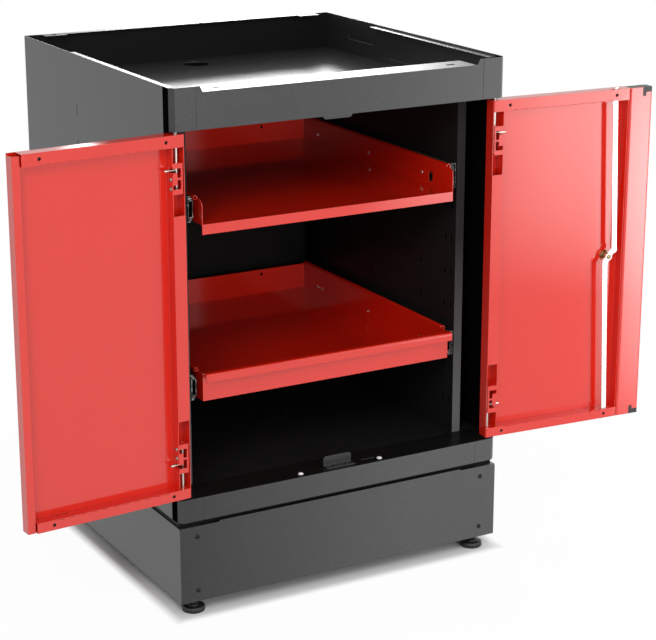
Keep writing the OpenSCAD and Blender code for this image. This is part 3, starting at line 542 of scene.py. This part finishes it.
# Lock barrel: turned brass, set through the door's outer face. Its plug has a keyway cut into it, and a
# brass nut on the inside holds the barrel to the skin.
lock_u = 0.259
lock_z = 0.538
plug_radius = 0.0045
plug_depth = 0.0016
plug_middle = -0.0004
keyway_half = (0.0006, 0.0026)
keyway_depth = 0.0014
looks_out = -0.5
brass = plated_metal("brass", bright=(0.34, 0.27, 0.14), dull=(0.25, 0.20, 0.10), rough=(0.22, 0.36))
at_lock = right_door @ Matrix(((1, 0, 0, lock_u), (0, 0, 1, 0), (0, -1, 0, lock_z), (0, 0, 0, 1)))
barrel_profile = ((0, 0.6), (4.6, 0.6), (4.6, -1.2), (5.1, -1.5), (11.4, -1.5), (12.6, -1.0), (13, 0),
                  (7, 0), (7, 12.4), (6.5, 13), (4.06, 13), (4.06, 2.2), (0, 2.2))
barrel = turned(barrel_profile, 48, at_lock)
plug = bmesh.new()
bmesh.ops.create_cone(plug, cap_ends=True, segments=32, radius1=plug_radius, radius2=plug_radius,
                      depth=plug_depth, matrix=Matrix.Translation((0, 0, plug_middle)))
for axis, half in zip(((1, 0, 0), (0, 1, 0)), keyway_half):
    for end in (-1, 1):
        bmesh.ops.bisect_plane(plug, geom=plug.verts[:] + plug.edges[:] + plug.faces[:],
                               plane_co=Vector(axis) * half * end, plane_no=axis)
keyway = []
for face in plug.faces:
    middle = face.calc_center_median()
    inside = abs(middle.x) < keyway_half[0] and abs(middle.y) < keyway_half[1]
    if inside and face.normal.z < looks_out:
        keyway.append(face)
sunk = bmesh.ops.extrude_face_region(plug, geom=keyway)
bmesh.ops.translate(plug, vec=(0, 0, keyway_depth), verts=moved_points(sunk))
bmesh.ops.delete(plug, geom=keyway, context="FACES_ONLY")
bmesh.ops.transform(plug, matrix=at_lock, verts=plug.verts)
set_piece("lock_barrel", "right_door", ["lock_body"], brass, [barrel, plug])

nut_bore = 7
nut_corner = 10
nut_profile = ((nut_bore, 1.2), (nut_corner, 1.2), (nut_corner, 4.5), (9.1, 5.2), (nut_bore, 5.2),
               (nut_bore, 1.2))
nut = turned(nut_profile, 48)
cut_hexagon(nut, nut_bore + 0.5, nut_corner)
bmesh.ops.transform(nut, matrix=at_lock, verts=nut.verts)
set_piece("lock_ring_nut", "right_door", ["lock_nut"], brass, [nut])

# Rod lock: the lock's spindle turns a zinc-plated bar, held by a brass screw and riveted to two flat rods.
# The rods run through the box edges into the rail and the sill. The rivets have blackened centres.
bar_turn = radians(54)
bar_reach = 0.0162
bar_radius = 0.0055
bar_bottom = 0.015
bar_thickness = 0.003
bar_edge = 0.0004
screw_seat = 0.0188
flat = 0.0001
on_bar = right_door @ Matrix(((cos(bar_turn), sin(bar_turn), 0, lock_u), (0, 0, 1, 0),
                              (sin(bar_turn), -cos(bar_turn), 0, lock_z), (0, 0, 0, 1)))
bar_ends = [on_bar @ Matrix.Translation((end * bar_reach, 0, 0)) for end in (-1, 1)]
bar = bmesh.new()
bmesh.ops.create_circle(bar, cap_ends=True, segments=48, radius=bar_radius,
                        matrix=Matrix.Translation((0, 0, bar_bottom)))
for vert in bar.verts:
    if abs(vert.co.x) > flat:
        vert.co.x += bar_reach if vert.co.x > 0 else -bar_reach
thick = bmesh.ops.extrude_face_region(bar, geom=bar.faces[:])
bmesh.ops.translate(bar, vec=(0, 0, bar_thickness), verts=moved_points(thick))
rims = [edge for edge in bar.edges if abs(edge.verts[0].co.z - edge.verts[1].co.z) < flat]
bmesh.ops.bevel(bar, geom=rims, offset=bar_edge, segments=2, profile=0.5, affect="EDGES", material=-1)
bmesh.ops.transform(bar, matrix=on_bar, verts=bar.verts)
spindle_profile = ((0, 2.5), (4, 2.5), (4, 15.2), (7, 15.2), (7, 18.5), (6.6, 18.8), (0, 18.8))
spindle = turned(spindle_profile, 32, on_bar)
rod_rivet_profile = ((0, 15.2), (2.5, 15.2), (2.5, 21.5), (4, 21.5), (3.9, 22.1), (3.2, 22.7), (1.6, 23),
                     (0, 23))
centre_profile = ((0, 22.6), (1.2, 22.6), (1.2, 23.05), (0.9, 23.15), (0, 23.15))
set_piece("lock_turning_bar", "lock_bar", ["lock_bar"], zinc,
          [bar, spindle] + [turned(rod_rivet_profile, 24, place) for place in bar_ends])
set_piece("lock_rivet_centres", "lock_bar", [], black_oxide,
          [turned(centre_profile, 20, place) for place in bar_ends])
set_piece("lock_bar_screw", "lock_bar", ["lock_bar"], brass,
          [button_screw(5, 2.2, on_bar @ Matrix.Translation((0, 0, screw_seat)))])
finish_nodes(zinc, "upper_rod", "lower_rod")

# Studio: the camera stands to the left of the front, above the cabinet's top, and looks a little down.
# Each lamp fades from its middle to its edges, so its reflections have no hard border, and the gain makes
# up for the light that the edges lose.
camera_at = (-1.6584, -3.1909, 1.4978)
camera_lens = 108.99
yaw = radians(-29.508)
pitch = radians(-16.835)
roll = radians(-0.045)
upright = radians(90)
scene = bpy.context.scene
scene.view_settings.view_transform = "Standard"
camera = bpy.data.objects.new("camera", bpy.data.cameras.new("camera"))
scene.collection.objects.link(camera)
scene.camera = camera
camera.data.lens = camera_lens
turn = (Matrix.Rotation(yaw, 4, "Z") @ Matrix.Rotation(pitch, 4, "X") @ Matrix.Rotation(roll, 4, "Y")
        @ Matrix.Rotation(upright, 4, "X"))
camera.matrix_world = Matrix.Translation(camera_at) @ turn

middle_height = 4.0
edge_gain = 9.0 / 4
for name, spot, target, width, height, power in (
    ("key_lamp", (-2.2, -2.8, 2.6), (0, -0.2, 0.5), 2.2, 2.2, 68),
    ("front_lamp", (0.1, -3.3, 1.0), (0, 0, 0.7), 1.6, 1.2, 30),
    ("fill_lamp", (2.4, -2.6, 1.9), (0, -0.2, 0.5), 2.0, 2.0, 4),
    ("top_lamp", (0.2, 0.3, 3.4), (0.2, 0.3, 0), 2.4, 2.4, 14),
    ("low_lamp", (1.35, -1.6, 0.58), (0.5, -0.4, 0.58), 0.9, 1.1, 4.4),
    ("strip_lamp", (0.865, -0.72, 0.48), (0.62, -0.33, 0.48), 0.16, 0.92, 0.85),
    ("back_lamp", (1.55, 3.0, 1.62), (0, 0, 0.9), 1.4, 0.8, 36),
):
    lamp = bpy.data.objects.new(name, bpy.data.lights.new(name, "AREA"))
    scene.collection.objects.link(lamp)
    lamp.data.shape = "RECTANGLE"
    lamp.data.size = width
    lamp.data.size_y = height
    lamp.data.energy = power
    lamp.location = spot
    lamp.rotation_euler = (Vector(spot) - Vector(target)).to_track_quat("Z", "Y").to_euler()
    lamp.visible_camera = False
    lamp.data.use_nodes = True
    tree = lamp.data.node_tree
    across = axes(tree, add_node(tree, "NewGeometry").outputs["Parametric"])
    strength = edge_gain
    for axis in ("X", "Y"):
        rest = maths(tree, "SUBTRACT", 1.0, across[axis])
        hump = maths(tree, "MULTIPLY", maths(tree, "MULTIPLY", middle_height, rest), across[axis])
        strength = maths(tree, "MULTIPLY", strength, hump)
    tree.links.new(strength, tree.nodes["Emission"].inputs["Strength"])

# Surround and floor: a white surround, dimmer for the light it sheds than for what is seen of it.
# The floor is pale and matt, and fades to white round the cabinet's shadow.


def seen_rays(tree):
    path = tree.nodes.new("ShaderNodeLightPath")
    total = path.outputs["Is Camera Ray"]
    for ray in ("Is Glossy Ray", "Is Transmission Ray"):
        total = maths(tree, "MAXIMUM", total, path.outputs[ray])
    return total


def choose(tree, share, first, second, output):
    mix = tree.nodes.new("ShaderNodeMixShader")
    connect(
        tree,
        (share, mix.inputs[0]),
        (first.outputs[0], mix.inputs[1]),
        (second.outputs[0], mix.inputs[2]),
        (mix.outputs[0], tree.nodes[output].inputs["Surface"]),
    )


white = (1, 1, 1, 1)
shed_light = 0.35
world = bpy.data.worlds.new("surround")
scene.world = world
world.use_nodes = True
tree = world.node_tree
soft = tree.nodes["Background"]
soft.inputs["Color"].default_value = white
soft.inputs["Strength"].default_value = shed_light
seen_white = add_node(tree, "Background", Color=white, Strength=1.0)
choose(tree, seen_rays(tree), soft, seen_white, "World Output")

floor_radius = 40
floor_tone = (0.86, 0.86, 0.86, 1)
half_width = 0.325
half_depth = 0.320
shadow_edge = 0.02
shadow_white = (0.96, 0.96, 0.96, 1)
ground = bmesh.new()
bmesh.ops.create_circle(ground, cap_ends=True, segments=96, radius=floor_radius)
floor = bpy.data.objects.new("floor", bpy.data.meshes.new("floor"))
ground.to_mesh(floor.data)
ground.free()
scene.collection.objects.link(floor)
pale = bpy.data.materials.new("pale_floor")
pale.use_nodes = True
tree = pale.node_tree
board = tree.nodes["Principled BSDF"]
board.inputs["Base Color"].default_value = floor_tone
board.inputs["Roughness"].default_value = 1
board.inputs["Specular IOR Level"].default_value = 0
spread = axes(tree, add_node(tree, "TexCoord").outputs["Object"])
beside = maths(tree, "SUBTRACT", maths(tree, "ABSOLUTE", spread["X"], 0.0), half_width)
before = maths(tree, "SUBTRACT", maths(tree, "ABSOLUTE", spread["Y"], 0.0), half_depth)
fade = tree.nodes.new("ShaderNodeValToRGB")
tree.links.new(maths(tree, "MAXIMUM", beside, before), fade.inputs[0])
fade.color_ramp.elements[0].color = (0, 0, 0, 1)
fade.color_ramp.elements[1].color = white
fade.color_ramp.elements.new(shadow_edge).color = shadow_white
share = maths(tree, "MULTIPLY", seen_rays(tree), fade.outputs[0])
glow = add_node(tree, "Emission", Color=white, Strength=1.0)
choose(tree, share, board, glow, "Material Output")
floor.data.materials.append(pale)
